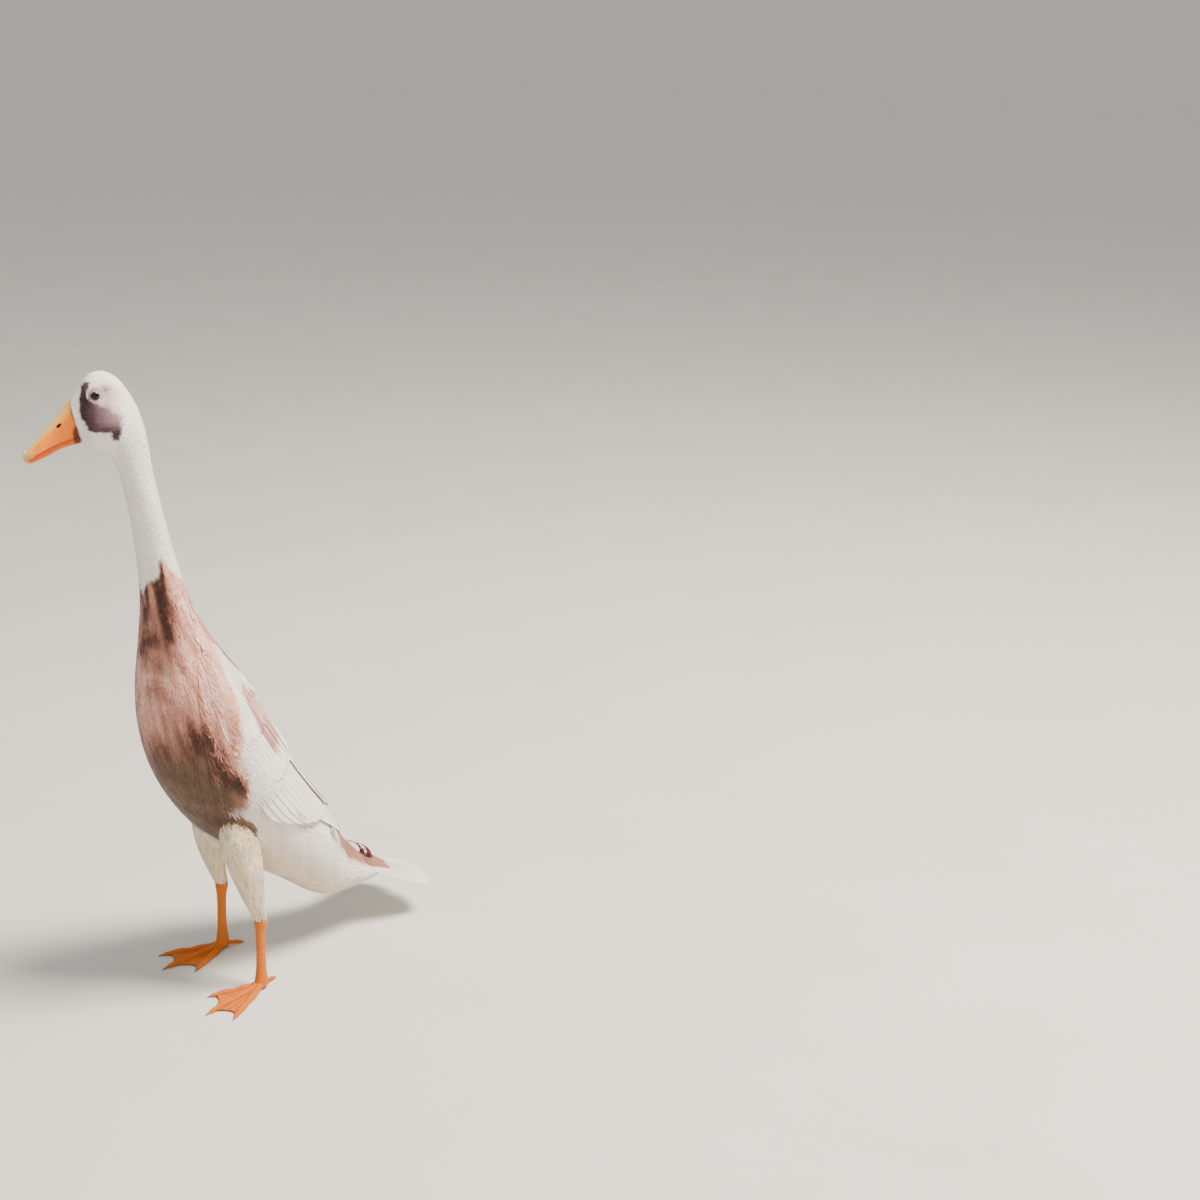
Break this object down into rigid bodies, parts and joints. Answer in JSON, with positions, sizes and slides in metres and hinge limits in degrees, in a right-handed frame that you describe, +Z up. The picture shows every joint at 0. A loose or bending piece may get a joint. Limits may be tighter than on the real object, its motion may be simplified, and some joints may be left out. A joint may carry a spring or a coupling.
{
  "type": "indian runner duck",
  "caption": "Life-size still figure of an upright domestic runner duck, standing with its wings folded and its head turned to one side, for display.",
  "frame": {"origin": "on the floor, under the middle of the bird's box", "axes": "+Z up, the bird faces -Y, its left side is +X"},
  "size_m": [0.1424, 0.3406, 0.5536],
  "materials": {
    "white_feathers": "matt, soft",
    "fawn_feathers": "matt, soft",
    "bill_horn": "satin",
    "leg_scales": "satin",
    "eye": "gloss"
  },
  "bodies": {
    "root": {"bill_lower": "bill_horn", "bill_upper": "bill_horn", "eye_left": "eye", "eye_right": "eye", "foot_left": "leg_scales", "foot_right": "leg_scales", "head": "white_feathers", "neck": "white_feathers", "shank_left": "leg_scales", "shank_right": "leg_scales", "tail": "white_feathers", "thigh_left": "white_feathers", "thigh_right": "white_feathers", "torso": "fawn_feathers", "wing_left": "white_feathers", "wing_right": "white_feathers"}
  },
  "joints": []
}
